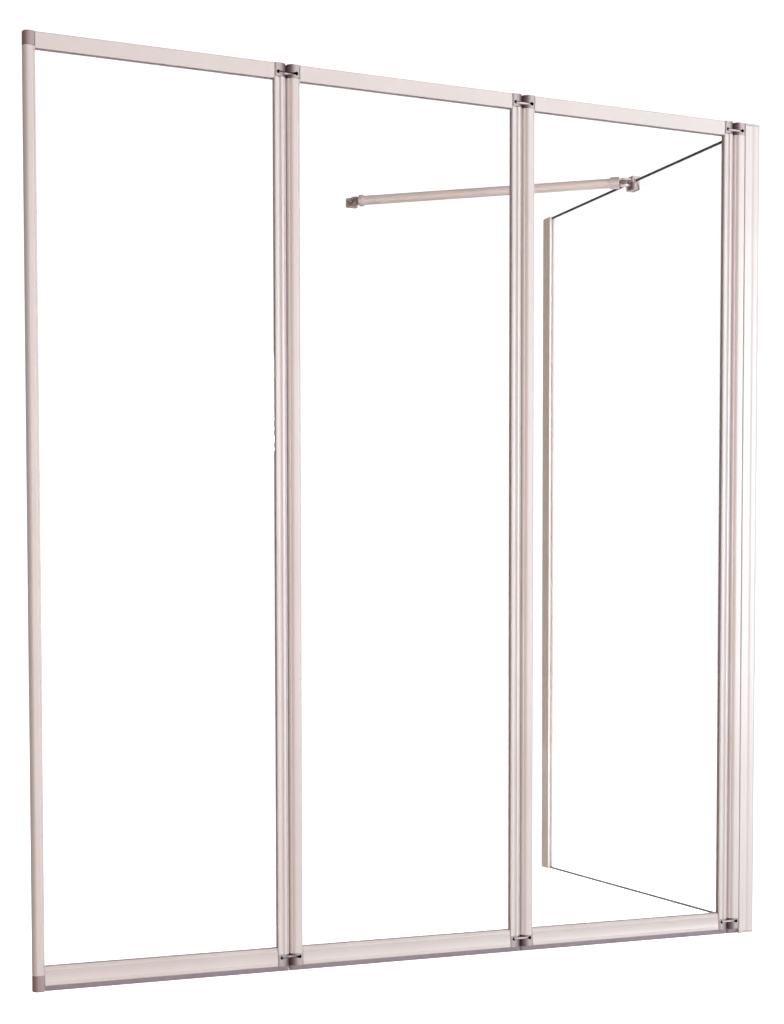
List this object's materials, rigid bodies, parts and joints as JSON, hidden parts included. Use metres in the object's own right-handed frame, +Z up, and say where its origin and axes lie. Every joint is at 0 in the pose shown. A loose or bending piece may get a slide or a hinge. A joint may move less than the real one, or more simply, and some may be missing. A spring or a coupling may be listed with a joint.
{
  "type": "folding bath screen",
  "caption": "Folding glass bath screen: framed leaves on double-pin hinges swing from a corner post, with a fixed side glass and a stabiliser bar to the wall.",
  "frame": {"origin": "middle of the corner post's foot, on the bath's rim", "axes": "-X along the folding leaves when they stand open in line, +Y along the fixed side glass towards the wall behind, +Z up"},
  "size_m": [1.2703, 0.75, 1.4],
  "materials": {
    "satin_aluminium": "satin champagne anodised",
    "corner_plastic": "fine satin moulding, rose grey",
    "link_metal": "satin",
    "screw_steel": "plain",
    "clear_glass": "clear polished safety glass",
    "soft_seal": "soft matt grey",
    "drip_seal": "soft matt mauve grey",
    "bar_metal": "satin beige anodised",
    "fitting_metal": "satin rose bronze"
  },
  "bodies": {
    "fixed": {"corner_post": "satin_aluminium", "post_hinge_stile": "satin_aluminium", "wall_profile": "satin_aluminium", "post_foot": "corner_plastic", "post_top_cap": "corner_plastic", "post_top_block": "corner_plastic", "post_bottom_block": "corner_plastic", "side_glass": "clear_glass", "post_gasket": "soft_seal", "wall_gasket": "soft_seal", "post_drip_seal": "drip_seal", "stabiliser_bar": "bar_metal", "bar_glass_socket": "fitting_metal", "bar_wall_socket": "fitting_metal", "wall_bracket": "fitting_metal", "glass_clamp": "fitting_metal", "clamp_pad": "soft_seal", "clamp_screw": "screw_steel"},
    "links_1": {"hinge_1_top_link": "link_metal", "hinge_1_bottom_link": "link_metal"},
    "leaf_1": {"leaf_1_left_stile": "satin_aluminium", "leaf_1_right_stile": "satin_aluminium", "leaf_1_nose_seal": "soft_seal", "leaf_1_top_rail": "satin_aluminium", "leaf_1_bottom_rail": "satin_aluminium", "leaf_1_glass": "clear_glass", "leaf_1_gasket": "soft_seal", "leaf_1_drip_seal": "drip_seal", "leaf_1_right_top_block": "corner_plastic", "leaf_1_right_bottom_block": "corner_plastic", "leaf_1_left_top_block": "corner_plastic", "leaf_1_left_bottom_block": "corner_plastic"},
    "links_2": {"hinge_2_top_link": "link_metal", "hinge_2_bottom_link": "link_metal"},
    "leaf_2": {"leaf_2_left_stile": "satin_aluminium", "leaf_2_right_stile": "satin_aluminium", "leaf_2_nose_seal": "soft_seal", "leaf_2_top_rail": "satin_aluminium", "leaf_2_bottom_rail": "satin_aluminium", "leaf_2_glass": "clear_glass", "leaf_2_gasket": "soft_seal", "leaf_2_drip_seal": "drip_seal", "leaf_2_right_top_block": "corner_plastic", "leaf_2_right_bottom_block": "corner_plastic", "leaf_2_left_top_block": "corner_plastic", "leaf_2_left_bottom_block": "corner_plastic"},
    "links_3": {"hinge_3_top_link": "link_metal", "hinge_3_bottom_link": "link_metal"},
    "leaf_3": {"leaf_3_left_stile": "satin_aluminium", "leaf_3_right_stile": "satin_aluminium", "leaf_3_nose_seal": "soft_seal", "leaf_3_top_rail": "satin_aluminium", "leaf_3_bottom_rail": "satin_aluminium", "leaf_3_glass": "clear_glass", "leaf_3_gasket": "soft_seal", "leaf_3_drip_seal": "drip_seal", "leaf_3_right_top_block": "corner_plastic", "leaf_3_right_bottom_block": "corner_plastic", "leaf_3_top_cap": "corner_plastic", "leaf_3_bottom_cap": "corner_plastic"}
  },
  "joints": [
    {"name": "screen_swing", "type": "hinge", "parent": "fixed", "child": "links_1", "pos_m": [-0.0268, -0.0065, 0], "axis": [0, 0, 1], "range_deg": [-18, 45]},
    {"name": "leaf_1_swing", "type": "hinge", "parent": "links_1", "child": "leaf_1", "pos_m": [-0.0478, -0.0065, 0], "axis": [0, 0, 1], "range_deg": [-18, 45]},
    {"name": "middle_fold", "type": "hinge", "parent": "leaf_1", "child": "links_2", "pos_m": [-0.4323, -0.0065, 0], "axis": [0, 0, 1], "range_deg": [-90, 0]},
    {"name": "leaf_2_fold", "type": "hinge", "parent": "links_2", "child": "leaf_2", "pos_m": [-0.4533, -0.0065, 0], "axis": [0, 0, 1], "range_deg": [-90, 0]},
    {"name": "outer_fold", "type": "hinge", "parent": "leaf_2", "child": "links_3", "pos_m": [-0.8378, -0.0065, 0], "axis": [0, 0, 1], "range_deg": [0, 90]},
    {"name": "leaf_3_fold", "type": "hinge", "parent": "links_3", "child": "leaf_3", "pos_m": [-0.8588, -0.0065, 0], "axis": [0, 0, 1], "range_deg": [0, 90]}
  ],
  "couplings": [
    {"joint": "leaf_1_swing", "follows": "screen_swing", "ratio": 1},
    {"joint": "middle_fold", "follows": "outer_fold", "ratio": -1},
    {"joint": "leaf_2_fold", "follows": "outer_fold", "ratio": -1},
    {"joint": "leaf_3_fold", "follows": "outer_fold", "ratio": 1}
  ]
}
